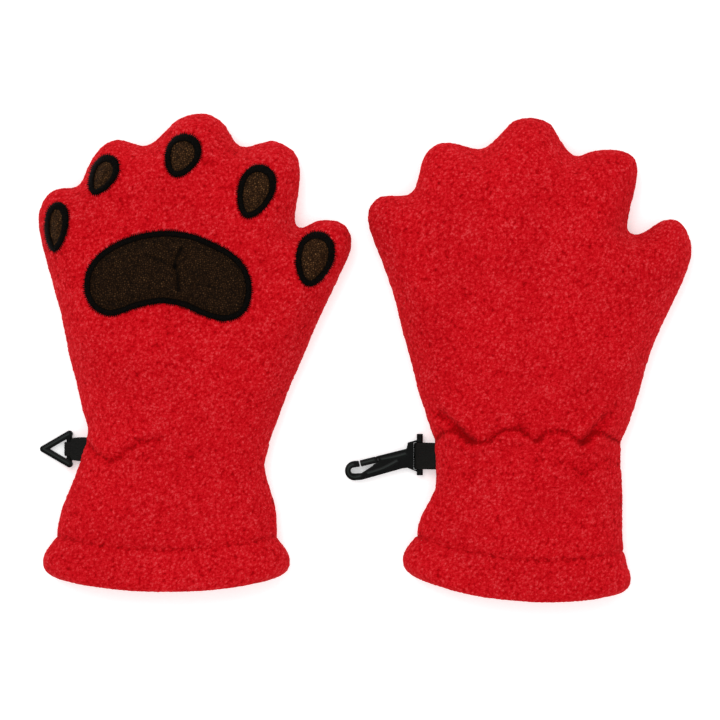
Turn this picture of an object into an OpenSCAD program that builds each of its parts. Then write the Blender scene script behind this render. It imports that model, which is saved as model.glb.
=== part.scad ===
// A pair of child's fleece paw mittens that clip together with a hook and a ring.
// The right-hand mitten lies palm up at -X and the left-hand mitten palm down at +X.
// Millimetres, +Z up, +Y towards the fingertips, origin on the table under the pair.

/* [Mittens] */
// Distance from the pair's middle to the right-hand mitten's centre line
right_offset = 64; // [62:0.5:68]
// Distance from the pair's middle to the left-hand mitten's centre line
left_offset = 62; // [62:0.5:66]
// Height of the side seam above the table
seam_z = 6; // [5.5:0.1:7]
// Height of the padded palm above the seam
palm_rise = 16; // [13:0.5:18]
// Height of the finger lobes and thumb above the seam
finger_rise = 14; // [11:0.5:15]
// Height of the wrist and cuff above the seam
cuff_rise = 12; // [11:0.5:13]
// Thickness of the fleece shell
fleece_t = 2; // [1.5:0.1:2.2]
// Thickness of the lining
lining_t = 1.2; // [0.8:0.1:1.4]

/* [Cuff and elastic] */
// Depth of the turned-up hem
hem_depth = 15.6; // [14:0.2:17]
// Thickness of the turned-up hem
hem_t = 4.4; // [3.6:0.1:4.6]
// Width of the elastic sewn across the back of the wrist
elastic_w = 10; // [6:1:12]
// Thickness of the elastic
elastic_t = 0.5; // [0.4:0.1:0.7]

/* [Paw pads] */
// Thickness of the pad patches
pad_t = 0.6; // [0.4:0.1:0.8]
// Thickness of the satin-stitched borders
border_t = 0.7; // [0.5:0.1:0.8]
// Width of the borders
border_w = 2.2; // [1.8:0.1:2.6]

/* [Webbing loops] */
// Thickness of the webbing
web_t = 0.8; // [0.6:0.05:0.8]
// Width of the ring's webbing at the seam
ring_web_w = 9; // [8:0.5:10]
// Width of the ring's webbing where it gathers round the bar
ring_web_neck = 5.4; // [5:0.1:5.6]
// Width of the hook's webbing
hook_web_w = 10; // [9:0.5:10]

/* [Triangle ring] */
// Side of the triangle along the middle of its bars
ring_side = 11.4; // [11:0.1:12]
// Width of the two slanted bars
ring_bar_w = 2.5; // [2.2:0.1:2.7]
// Thickness of the ring
ring_t = 2.2; // [2:0.1:2.4]
// Radius of the round bar that the webbing holds
ring_pin_r = 1.1; // [1:0.05:1.15]

/* [Snap hook] */
// Thickness of the hook
hook_t = 4; // [3.8:0.1:4.2]
// Radius of the cross bar that the webbing holds
hook_pin_r = 1.2; // [1.1:0.05:1.2]
// Length of the cross bar with its two lugs
hook_bar_len = 15.6; // [15:0.2:17]
// Outer radius of the J bend
bend_r = 3.65; // [3.5:0.05:3.8]
// Inner radius of the J bend
eye_r = 1.1; // [1:0.05:1.2]

/* [Hidden] */
FINGERS = ["little", "ring", "middle", "index", "thumb"];
SIDES = ["right", "left"];
PANELS = ["palm_panel", "back_panel", "palm_lining", "back_lining", "cuff_hem", "wrist_elastic",
          "palm_pad", "palm_pad_border"];

red = "#d01a28";
dark_red = "#a81420";
black = "#151515";
brown = "#2d2018";

fit_gap = 0.04;         // running clearance round the two webbing bars
gate_gap = 0.06;        // running clearance round the gate's root
layer_gap = 0.15;       // clearance between layers of cloth that lie on each other
floor_gap = 0.05;       // height of the hardware above the table
seam_gap = 0.7;         // clearance between the webbing's end and the side seam
split = 0.05;           // half the gap between the upper and lower panels at the seam
reach = 40;             // distance from the seam at which the upper side stops rising
under_reach = 9;        // distance from the seam at which the lower side lies flat
mouth_gap = 0.4;        // clearance between the panels' lower edges and the hem
MOUTH_STEPS = 8;        // pieces of the curve along the cuff
centre = [0, 20];       // palm centre, from which every panel fans out
SPREAD = [0, 0.03, 0.09, 0.18, 0.32, 0.52, 0.76];   // panel rings, seam to palm centre
INNER_SPREAD = [0, 0.08, 0.25, 0.55];               // the same on hidden faces
PAD_SPREAD = [0, 0.45];

// Side seams in each mitten's own frame: from the little finger's end of the cuff, round the
// finger lobes and the thumb, to the other end of the cuff.
RIGHT_SEAM = [[-52.5, -67.5], [-50.5, -58], [-46.5, -48], [-43.5, -40], [-41, -31], [-40.5, -26],
  [-42.5, -21], [-44.5, -11], [-47.5, 0], [-50, 14], [-53, 25], [-57, 39], [-59, 51],
  [-57.5, 57.5], [-54, 62], [-49, 63.5], [-43.5, 64], [-40.5, 71], [-36, 78], [-30, 81.5],
  [-24, 80.5], [-18, 79], [-12.5, 83], [-7, 88.5], [-2, 90.7], [3.5, 91.5], [8, 90],
  [12, 86.5], [17, 79], [23.5, 80], [29.5, 81.3], [35, 79], [38.7, 75.5], [40, 70], [39.7, 63],
  [38.4, 55], [38, 48], [41.5, 49], [46.5, 51.3], [52.5, 51.3], [56.5, 49.5], [59, 45.5],
  [59, 40], [56.5, 33.5], [47, 13.5], [40.5, -2], [36.5, -11], [32, -23], [28.5, -33],
  [26.7, -42], [28.5, -49], [30.8, -57], [31.6, -67.2]];
LEFT_SEAM = [[-43.5, -68], [-41.8, -60.5], [-38.7, -54.7], [-36.2, -49], [-36, -42], [-36.3, -33],
  [-38, -27], [-41.5, -16], [-45.5, -1.5], [-49, 11.5], [-52, 23], [-56.5, 36], [-60, 45],
  [-61.6, 52.5], [-59.7, 57.5], [-56, 60.3], [-51, 60.6], [-45, 61], [-42.5, 66], [-41, 72],
  [-38.5, 77], [-34, 80], [-29, 80.3], [-20, 78], [-16, 79.3], [-11.5, 83.5], [-7, 88.3],
  [-1.5, 90], [4, 89.4], [8.5, 86.7], [11.5, 81], [16.5, 75], [22.5, 76.8], [29, 77.6],
  [35, 76.8], [39, 74.4], [40.5, 70], [39.7, 63], [37.8, 54], [36.7, 46], [42.5, 47],
  [48.5, 51], [54, 52], [57.5, 50], [60, 45.5], [61, 40], [60.3, 34.5], [57, 26.5], [48.5, 8.5],
  [44.5, -2], [40.5, -16], [37, -27], [34.4, -33.5], [34.6, -43], [35.2, -53], [35.2, -63],
  [35.6, -73]];

// Palm pad in a mitten's own frame, a bean with its hollow towards the cuff.
PALM_PAD = [[-40.8, 26], [-40, 31.5], [-36, 37.5], [-28.5, 42.5], [-20, 45.5], [-10.5, 46.8],
  [-1, 45.7], [7, 42.8], [15.2, 38.2], [20.2, 32.5], [22.1, 25.5], [20.8, 18], [16.8, 13.9],
  [10.5, 12.7], [3, 14.9], [-4, 18], [-12, 19.2], [-20.5, 17.6], [-26, 15.6], [-31.5, 14.6],
  [-37, 17], [-40, 21.5]];

// Toe pads: length, width and lean of each, then their places on the two mittens.
TOE_SIZE = [[19.4, 9.8, 6], [16.8, 11, 28], [17.5, 13.5, 22], [21.4, 14, 20], [21.6, 14.6, 14]];
RIGHT_TOES = [[-51.3, 48.2], [-33.9, 67.5], [-4.2, 74.6], [23.2, 61.2], [45.1, 36.2]];
LEFT_TOES = [[-51.5, 47], [-31.5, 66.5], [-3.5, 73.5], [25.5, 59.5], [47.5, 34.5]];

// The curve through a list of points, two steps to each span (Catmull-Rom).
function bend(a, b, c, d, t) =
    0.5*(2*b + (c - a)*t + (2*a - 5*b + 4*c - d)*t*t + (3*b - a - 3*c + d)*t*t*t);
function open_curve(p) = let (m = len(p) - 1)
    [for (i = [0:m]) each i == m ? [p[m]] :
        [p[i], bend(p[max(i - 1, 0)], p[i], p[i + 1], p[min(i + 2, m)], 0.5)]];
function closed_curve(p) = let (m = len(p))
    [for (i = [0:m - 1]) each
        [p[i], bend(p[(i + m - 1)%m], p[i], p[(i + 1)%m], p[(i + 2)%m], 0.5)]];

// Distance from a point to a piece of seam, and to the whole seam.
function to_piece(p, a, b) =
    let (t = max(0, min(1, (p - a)*(b - a)/((b - a)*(b - a))))) norm(p - a - (b - a)*t);
function to_seam(p, seam) = min([for (i = [1:len(seam) - 1]) to_piece(p, seam[i - 1], seam[i])]);

// Each mitten is one list: seam curve, cuff's middle x, half width and tilt, gap under its palm.
function seam_of(m) = m[0];
function cuff_y(m, x) = let (u = (x - m[1])/m[2]) m[3] + m[4]*u*u - m[5]*u;
function under_gap(m) = m[6];
RIGHT = [open_curve(RIGHT_SEAM), -10.5, 42, -72.5, 5, 0, 0];
LEFT = [open_curve(LEFT_SEAM), -4, 39.6, -76, 5.35, 2.75, pad_t + border_t + 2*layer_gap];

// Rise of the upper side: full at the palm, less towards the fingertips and the cuff.
function ease(a, b, v) = let (t = max(0, min(1, (v - a)/(b - a)))) t*t*(3 - 2*t);
function rise(y) = y > centre.y ? palm_rise + (finger_rise - palm_rise)*ease(35, 75, y)
                                : cuff_rise + (palm_rise - cuff_rise)*ease(-40, 0, y);
// A cushion's profile: zero at depth s from the seam, full height h at the reach r.
function swell(d, s, h, r) = d <= s ? 0 : (h - s)*sqrt(1 - pow(1 - min((d - s)/(r - s), 1), 2));
function top_z(m, p, s) = seam_z + split + swell(to_seam(p, seam_of(m)), s, rise(p.y), reach);
function under_z(m, p, s) =
    seam_z - split - swell(to_seam(p, seam_of(m)), s, seam_z - split - under_gap(m), under_reach);

// The seam moved inwards by d, and the loop that closes it along the cuff.
function inward(c, d) = let (m = len(c) - 1) [for (i = [0:m])
    let (v = c[min(i + 1, m)] - c[max(i - 1, 0)]) c[i] + d*[v.y, -v.x]/norm(v)];
function every_other(c) = [for (i = [0:2:len(c) - 1]) c[i]];
function mouth_loop(m, c) = let (a = c[len(c) - 1].x, b = c[0].x)
    concat(c, [for (i = [1:MOUTH_STEPS - 1]) let (x = a + (b - a)*i/MOUTH_STEPS)
               [x, cuff_y(m, x) + mouth_gap]]);

function toward(loop, c, spread) = [for (t = spread, p = loop) p + (c - p)*t];
function raised(points, z) = [for (p = points) [p.x, p.y, z(p)]];
// Fan of triangles over rings of n points that close on one middle point.
function fan(n, rings, start, up) = [
    for (j = [0:rings - 1], i = [0:n - 1])
        let (a = start + j*n + i, b = start + j*n + (i + 1)%n, last = j == rings - 1,
             c = last ? start + rings*n : b + n, d = last ? c : a + n)
        each last ? [up ? [a, b, c] : [a, c, b]]
                  : up ? [[a, b, c], [a, c, d]] : [[a, c, b], [a, d, c]]];
// A sheet between an upper and a lower surface, each over its own clockwise loop.
module sheet(upper, lower, upper_z, lower_z, c, upper_spread, lower_spread) {
    n = len(upper);
    start = n*len(upper_spread) + 1;
    points = concat(raised(toward(upper, c, upper_spread), upper_z), raised([c], upper_z),
                    raised(toward(lower, c, lower_spread), lower_z), raised([c], lower_z));
    edge = [for (i = [0:n - 1]) let (k = (i + 1)%n)
        each [[k, i, start + i], [k, start + i, start + k]]];
    polyhedron(points, concat(fan(n, len(upper_spread), 0, true),
                              fan(n, len(lower_spread), start, false), edge), convexity = 6);
}
// A flat ring between an outer and an inner loop, from z0(p) up to z1(p).
module band(outer, inner, z0, z1) {
    n = len(outer);
    points = concat(raised(outer, z1), raised(inner, z1), raised(inner, z0), raised(outer, z0));
    polyhedron(points, [for (j = [0:3], i = [0:n - 1])
        let (k = (i + 1)%n, a = j*n + i, b = j*n + k, c = ((j + 1)%4)*n + k, d = ((j + 1)%4)*n + i)
        each [[a, b, c], [a, c, d]]], convexity = 6);
}

module place(side) translate([side == "right" ? -right_offset : left_offset, 0, 0]) children();
function mitten(side) = side == "right" ? RIGHT : LEFT;
// The palm faces up on the right-hand mitten and down on the left-hand one.
function palm_up(side) = side == "right";

// A layer of cloth on the palm or the back, between depths s0 and s1 below the outer surface.
module layer(side, palm, seam, s0, s1, spread) place(side) {
    m = mitten(side);
    outer = mouth_loop(m, inward(seam, s0));
    inner = mouth_loop(m, inward(seam, s1));
    if (palm == palm_up(side))
        sheet(outer, inner, function(p) top_z(m, p, s0), function(p) top_z(m, p, s1),
              centre, spread, INNER_SPREAD);
    else
        sheet(inner, outer, function(p) under_z(m, p, s1), function(p) under_z(m, p, s0),
              centre, INNER_SPREAD, spread);
}
module panel(side, palm) color(red)
    layer(side, palm, seam_of(mitten(side)), 0, fleece_t, SPREAD);
lining_depth = fleece_t + elastic_t + 9*layer_gap;
module lining(side, palm) color(dark_red)
    layer(side, palm, every_other(seam_of(mitten(side))), lining_depth, lining_depth + lining_t,
          INNER_SPREAD);

// The turned-up hem: a flattened tube whose wall follows HEM_PROFILE round the cuff.
// Each profile point is the distance below the stitching, then the inset in x and in z.
HEM_POINTS = 48;
HEM_PROFILE = [[0, 4.2, 1.2], [0.13, 1.6, 0.4], [0.35, 0.3, 0], [0.65, 0, 0], [0.87, 1.8, 0.5],
  [1, 6, 2], [0.97, 9, 3.4], [0.8, 9.5, 4.4], [0.2, 9, 4.4], [0, 8, 4]];
hem_flare = 4.4;        // how far the hem stands out past the seam at each side
module cuff_hem(side) color(red) place(side) {
    m = mitten(side);
    half = m[2] + hem_flare;
    last = len(HEM_PROFILE) - 1;
    points = [for (k = [0:last], i = [0:HEM_POINTS - 1])
        let (q = HEM_PROFILE[k], a = 360*i/HEM_POINTS, w = half - q[1], u = cos(a),
             x = m[1] + w*u, d = w*(1 - abs(u)), inset = q[2]*hem_t/4.4, up = sin(a) >= 0,
             h = (up ? cuff_rise : seam_z) - inset, r = up ? 30 : under_reach,
             z = h*sqrt(1 - pow(1 - min(d/r, 1), 2)))
        [x, cuff_y(m, x) - q[0]*hem_depth, seam_z + (up ? z : -z)]];
    polyhedron(points, [for (k = [0:last], i = [0:HEM_POINTS - 1])
        let (n = HEM_POINTS, a = k*n + i, b = k*n + (i + 1)%n, c = ((k + 1)%(last + 1))*n + (i + 1)%n,
             d = ((k + 1)%(last + 1))*n + i)
        each [[a, b, c], [a, c, d]]], convexity = 6);
}

// Elastic across the back of the wrist, between the shell and the lining.
ELASTIC_STEPS = 24;
elastic_y = -36;        // middle of the elastic
elastic_end = 10;       // clearance between the elastic's ends and the side seams
elastic_lift = 0.1;     // how far it stands off its layer on top, and more at its middle
elastic_dome = 0.45;
elastic_under = 0.3;    // how far it stands off its layer on the table side
module wrist_elastic(side) color("ivory") place(side) {
    m = mitten(side);
    depth = fleece_t + 2*layer_gap;
    x0 = min([for (p = seam_of(m)) if (abs(p.y - elastic_y) < 8 && p.x < 0) p.x]) + elastic_end;
    x1 = max([for (p = seam_of(m)) if (abs(p.y - elastic_y) < 8 && p.x > 0) p.x]) - elastic_end;
    z = function(x, s) palm_up(side)
        ? under_z(m, [x, elastic_y], depth + s) + elastic_under
        : top_z(m, [x, elastic_y], depth + elastic_t - s) + elastic_lift
          + elastic_dome*(1 - pow((2*x - x0 - x1)/(x1 - x0), 2));
    ends = [for (i = [0:ELASTIC_STEPS]) let (x = x0 + (x1 - x0)*i/ELASTIC_STEPS)
        [for (v = [[-1, elastic_t], [1, elastic_t], [1, 0], [-1, 0]])
            [x, elastic_y + v[0]*elastic_w/2, z(x, v[1])]]];
    last = 4*ELASTIC_STEPS;
    polyhedron([for (e = ends) each e], concat([[0, 3, 2], [0, 2, 1]],
        [[last, last + 1, last + 2], [last, last + 2, last + 3]],
        [for (i = [0:ELASTIC_STEPS - 1], j = [0:3])
            let (a = 4*i + j, b = 4*i + (j + 1)%4) each [[a, b, b + 4], [a, b + 4, a + 4]]]));
}

// Pads follow the palm. lift is measured outwards from the palm's surface.
dome_gap = 0.55;        // more clearance under the pads on the domed, upper palm
function palm_z(side, lift) = let (m = mitten(side), up = palm_up(side))
    function(p) up ? top_z(m, p, 0) + lift + dome_gap : max(under_z(m, p, 0) - lift, 0);
module patch(side, outline, c) color(brown) place(side) {
    low = palm_z(side, layer_gap);
    high = palm_z(side, layer_gap + pad_t);
    if (palm_up(side)) sheet(outline, outline, high, low, c, PAD_SPREAD, PAD_SPREAD);
    else sheet(outline, outline, low, high, c, PAD_SPREAD, PAD_SPREAD);
}
module border(side, outline) color(black) place(side) {
    low = palm_z(side, 2*layer_gap + pad_t);
    high = palm_z(side, 2*layer_gap + pad_t + border_t);
    if (palm_up(side)) band(outline, inward_loop(outline, border_w), low, high);
    else band(outline, inward_loop(outline, border_w), high, low);
}
function inward_loop(c, d) = let (m = len(c)) [for (i = [0:m - 1])
    let (v = c[(i + 1)%m] - c[(i + m - 1)%m]) c[i] + d*[v.y, -v.x]/norm(v)];
pad_middle = [-8, 31];  // middle of the palm pad
module palm_pad(side) patch(side, inward_loop(closed_curve(PALM_PAD), 0.4), pad_middle);
module palm_pad_border(side) border(side, closed_curve(PALM_PAD));

// A toe pad is an egg that narrows to its lower end and leans towards the thumb.
TOE_POINTS = 20;
function toe_place(side, k) = (side == "right" ? RIGHT_TOES : LEFT_TOES)[k];
function toe_outline(side, k) = let (s = TOE_SIZE[k], c = toe_place(side, k))
    [for (i = [0:TOE_POINTS - 1])
        let (a = 360*i/TOE_POINTS, x = s[1]/2*sin(a)*(1 + 0.18*cos(a)), y = s[0]/2*cos(a))
        c + [x*cos(s[2]) + y*sin(s[2]), y*cos(s[2]) - x*sin(s[2])]];
module toe_pad(side, k) patch(side, inward_loop(toe_outline(side, k), 0.4), toe_place(side, k));
module toe_border(side, k) border(side, toe_outline(side, k));

// Webbing loop in profile: two legs from the seam that wrap round a bar at the origin.
module webbing_profile(pin_r, run) difference() {
    inner = pin_r + fit_gap;
    hull() {
        circle(r = inner + web_t, $fn = 64);
        translate([run, -web_t]) square([run, 2*web_t]);
    }
    circle(r = inner, $fn = 64);
    polygon([[0, inner], [run*0.6, 0], [0, -inner]]);
}
// The loop from a bar to the seam, cut to the plan outline given.
module webbing(bar, foot, pin_r, plan) color(black) intersection() {
    run = norm([foot.x - bar.x, foot.z - bar.z]);
    slope = atan2(foot.z - bar.z, foot.x - bar.x);
    translate([bar.x, bar.y, bar.z]) rotate([0, -slope, 0]) rotate([90, 0, 0])
        linear_extrude(16, center = true) webbing_profile(pin_r, run);
    linear_extrude(seam_z + 6) polygon(plan);
}

// Triangle ring: its bar lies in the webbing and its tip rests on the table.
ring_bar = [-111.2, -35, floor_gap + ring_pin_r + fit_gap + web_t];
ring_foot = [-106.9, -35, seam_z - 0.2];
ring_reach = ring_side*sqrt(3)/2;
ring_tilt = asin((ring_bar.z - ring_t/2 - floor_gap)/ring_reach);
ring_corner = 0.1;                  // how far the round corners stand out past the bars' sides
module ring_webbing() webbing(ring_bar, ring_foot, ring_pin_r,
    [[ring_bar.x - 4, -35 + ring_web_neck/2], [ring_bar.x + 1.6, -35 + ring_web_neck/2],
     [-105 - seam_gap - 0.1, -35 + ring_web_w/2], [-107.4 - seam_gap, -35 - ring_web_w/2],
     [ring_bar.x + 1.6, -35 - ring_web_neck/2], [ring_bar.x - 4, -35 - ring_web_neck/2]]);
module ring_arm(turn) translate([-ring_reach, 0, 0]) rotate([0, 0, turn])
    translate([0, ring_corner/2 - ring_bar_w/2, -ring_t/2])
        cube([ring_side, ring_bar_w - ring_corner, ring_t]);
module triangle_ring() color(black) translate(ring_bar) rotate([0, -ring_tilt, 0]) {
    ring_arm(30);
    ring_arm(-30);
    rotate([90, 0, 0]) cylinder(h = ring_side, r = ring_pin_r, center = true, $fn = 48);
    for (p = [[-ring_reach, 0], [0, ring_side/2], [0, -ring_side/2]])
        translate([p.x, p.y, -ring_t/2]) cylinder(h = ring_t, d = ring_bar_w, $fn = 48);
}

// Snap hook: plan shapes in its own frame, with the cross bar along Y at the origin.
hook_bar = [20.6, -37.1, floor_gap + hook_t/2];
hook_foot = [24.9, -37.6, seam_z - 0.2];
web_middle = -0.5;                  // the webbing's middle, from the bar's middle
eye = [-24.9, -6];                  // centre of the J's inner bend
bend_middle = [-24.5, -6.05];       // centre of the J's outer bend
gate_root = [-16.9, -2];            // where the gate flexes
gate_r = 1.2;                       // rounding of the gate's root
gate_lean = 14;                     // lean of the gate and the shank's upper edge
gate_len = 5.6;                     // root to tip
gate_travel = 16;                   // angle from shut to fully pressed in
GATE_MOUTH = [[-17.4, -4], [-22, -7], [-24.9, eye.y - eye_r], [-24.9, eye.y + eye_r],
  [-21.5, -4.3], [-18, -3.3]];
SHANK = [[-24.6, -9.7], [-21.9, -9.5], [-6.6, -5.2], [-4.4, -4.9], [-4.5, 4.4], [-5, 2.2],
  [-23, -2.3], [-24.5, -2.4]];
HEAD = [[-4.6, -5], [-0.9, -6.5], [0.6, -6.5], [0.6, 5.5], [-1.5, 5.4], [-4.6, 4.5]];
slot_w = hook_web_w + 0.3;
module hook_webbing() webbing(hook_bar, hook_foot, hook_pin_r,
    let (y = hook_bar.y + web_middle, h = hook_web_w/2, x = 25.7 - seam_gap)
    [[hook_bar.x - 4, y + h], [x - 0.2, y + h], [x, y - h], [hook_bar.x - 4, y - h]]);
module gate_plan(grow) {
    translate(gate_root) circle(r = gate_r + grow, $fn = 48);
    translate(gate_root) rotate([0, 0, gate_lean]) translate([-gate_len, -gate_r - grow])
        square([gate_len, 2*gate_r + 2*grow]);
}
// The room that the gate sweeps as it is pressed in.
module gate_sweep() translate(gate_root) {
    rotate([0, 0, gate_lean])
        polygon([[0, gate_r + 4], [0, -gate_r], [-2, -gate_r - 0.4],
                 [-gate_len - 0.45, -gate_r - 0.4], [-gate_len - 0.45, gate_r + 4]]);
    for (turn = [4:4:gate_travel]) rotate([0, 0, gate_lean + turn])
        translate([-gate_len - 0.2, -gate_r - gate_gap]) square([gate_len + 0.2, gate_r]);
}
module snap_hook() color(black) translate(hook_bar) {
    difference() {
        translate([0, 0, -hook_t/2]) linear_extrude(hook_t) union() {
            translate(bend_middle) circle(r = bend_r, $fn = 96);
            polygon(SHANK);
            polygon(HEAD);
        }
        translate([eye.x, eye.y, -hook_t]) cylinder(h = 2*hook_t, r = eye_r, $fn = 64);
        translate([0, 0, -hook_t]) linear_extrude(2*hook_t) {
            polygon(GATE_MOUTH);
            gate_sweep();
            translate(gate_root) circle(r = gate_r + gate_gap, $fn = 48);
            translate([-2.35, web_middle - slot_w/2]) square([6, slot_w]);
        }
        for (s = [-1, 1]) translate([-1.6, -10, s > 0 ? hook_pin_r : -hook_t - hook_pin_r])
            cube([6, 20, hook_t]);
    }
    rotate([90, 0, 0]) cylinder(h = hook_bar_len, r = hook_pin_r, center = true, $fn = 48);
}
module hook_gate() color(black) translate([hook_bar.x, hook_bar.y, floor_gap])
    linear_extrude(hook_t) gate_plan(0);

for (side = SIDES) {
    panel(side, true);
    panel(side, false);
    lining(side, true);
    lining(side, false);
    cuff_hem(side);
    wrist_elastic(side);
    palm_pad(side);
    palm_pad_border(side);
    for (k = [0:4]) {
        toe_pad(side, k);
        toe_border(side, k);
    }
}
ring_webbing();
triangle_ring();
hook_webbing();
snap_hook();
hook_gate();
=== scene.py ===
"""A pair of child's red fleece paw mittens, which a snap hook and a triangle ring clip together.

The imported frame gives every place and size. Lengths in this script are millimetres, and they
become metres where a mesh is made.
"""

import math
from contextlib import contextmanager

import bmesh
import bpy
import numpy as np
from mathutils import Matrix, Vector
from mathutils.bvhtree import BVHTree
from mathutils.geometry import delaunay_2d_cdt


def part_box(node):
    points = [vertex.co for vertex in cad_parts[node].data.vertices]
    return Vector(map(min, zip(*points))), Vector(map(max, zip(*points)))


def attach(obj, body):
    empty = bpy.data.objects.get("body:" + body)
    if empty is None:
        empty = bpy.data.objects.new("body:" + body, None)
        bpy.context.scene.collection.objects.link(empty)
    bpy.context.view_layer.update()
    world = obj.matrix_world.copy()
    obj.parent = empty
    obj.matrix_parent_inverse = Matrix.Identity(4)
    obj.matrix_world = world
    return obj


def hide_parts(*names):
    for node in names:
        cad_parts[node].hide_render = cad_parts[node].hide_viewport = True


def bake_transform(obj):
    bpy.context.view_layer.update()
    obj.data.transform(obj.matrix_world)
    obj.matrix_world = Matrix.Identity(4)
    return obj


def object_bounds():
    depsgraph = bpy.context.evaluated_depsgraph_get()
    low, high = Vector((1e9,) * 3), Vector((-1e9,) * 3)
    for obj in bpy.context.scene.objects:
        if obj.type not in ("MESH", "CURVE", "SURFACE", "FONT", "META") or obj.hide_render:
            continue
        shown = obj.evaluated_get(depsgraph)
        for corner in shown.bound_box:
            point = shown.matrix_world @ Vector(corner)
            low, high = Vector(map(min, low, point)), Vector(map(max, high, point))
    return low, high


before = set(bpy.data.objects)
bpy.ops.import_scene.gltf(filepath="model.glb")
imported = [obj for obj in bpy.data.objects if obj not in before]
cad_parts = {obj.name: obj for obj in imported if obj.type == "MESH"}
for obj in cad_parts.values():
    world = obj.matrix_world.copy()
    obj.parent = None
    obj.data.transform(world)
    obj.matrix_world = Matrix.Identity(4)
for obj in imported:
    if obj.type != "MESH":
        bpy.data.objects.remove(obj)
CAD_LOW, CAD_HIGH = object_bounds()

MM = 0.001
FLOOR_GAP = 0.02                            # how far the lowest points stay above the table
FINGERS = ("little", "ring", "middle", "index", "thumb")
UP = {"right": "palm", "left": "back"}      # the panel that faces up on each mitten
DOWN = {"right": "back", "left": "palm"}    # the panel that lies on the table


def link(obj):
    """Puts an object into the scene."""
    bpy.context.scene.collection.objects.link(obj)


def box_mm(node):
    """A CAD node's lowest and highest corners, in millimetres."""
    return [corner/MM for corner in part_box(node)]


# ------------------------------ camera, light and floor

CAMERA_HEIGHT = 1.6     # metres above the table
SEAM_HEIGHT = 0.006     # metres above the table, where the view's width is measured
VIEW_MARGIN = 1.0985    # the view's width over the pair's
VIEW_SHIFT = (-1.9, -1.3)    # where the camera stands from the pair's middle, in millimetres


def look_straight_down():
    """A long lens straight above the pair, as wide as the pair and a margin."""
    middle = (CAD_LOW + CAD_HIGH)/2
    width = (CAD_HIGH.x - CAD_LOW.x)*VIEW_MARGIN
    data = bpy.data.cameras.new("camera")
    data.sensor_width = 36.0
    data.lens = data.sensor_width*(CAMERA_HEIGHT - SEAM_HEIGHT)/width
    data.clip_start = 0.05
    data.clip_end = 10.0
    camera = bpy.data.objects.new("camera", data)
    camera.location = (middle.x + VIEW_SHIFT[0]*MM, middle.y + VIEW_SHIFT[1]*MM, CAMERA_HEIGHT)
    link(camera)
    bpy.context.scene.camera = camera


def soft_light(name, place, energy, size):
    """A square area light that faces the middle of the pair."""
    data = bpy.data.lights.new(name, "AREA")
    data.energy = energy
    data.size = size
    light = bpy.data.objects.new(name, data)
    light.location = place
    light.rotation_mode = "QUATERNION"
    light.rotation_quaternion = (-Vector(place)).to_track_quat("-Z", "Y")
    link(light)


def studio():
    """A white room with a key light, a fill light and a pale table."""
    world = bpy.data.worlds.new("studio")
    world.use_nodes = True
    background = world.node_tree.nodes["Background"]
    background.inputs["Color"].default_value = (1.0, 1.0, 1.0, 1.0)
    background.inputs["Strength"].default_value = 0.80
    bpy.context.scene.world = world
    soft_light("key", (-0.55, 0.75, 1.5), 9.0, 1.0)
    soft_light("fill", (0.9, -0.5, 1.6), 4.5, 1.4)
    bpy.context.scene.view_settings.view_transform = "Standard"
    half = 2.0
    mesh = bpy.data.meshes.new("floor")
    mesh.from_pydata([(-half, -half, 0), (half, -half, 0), (half, half, 0), (-half, half, 0)],
                     [], [(0, 1, 2, 3)])
    floor = bpy.data.objects.new("floor", mesh)
    link(floor)
    mesh.materials.append(plain_floor())


# ------------------------------ materials

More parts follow.
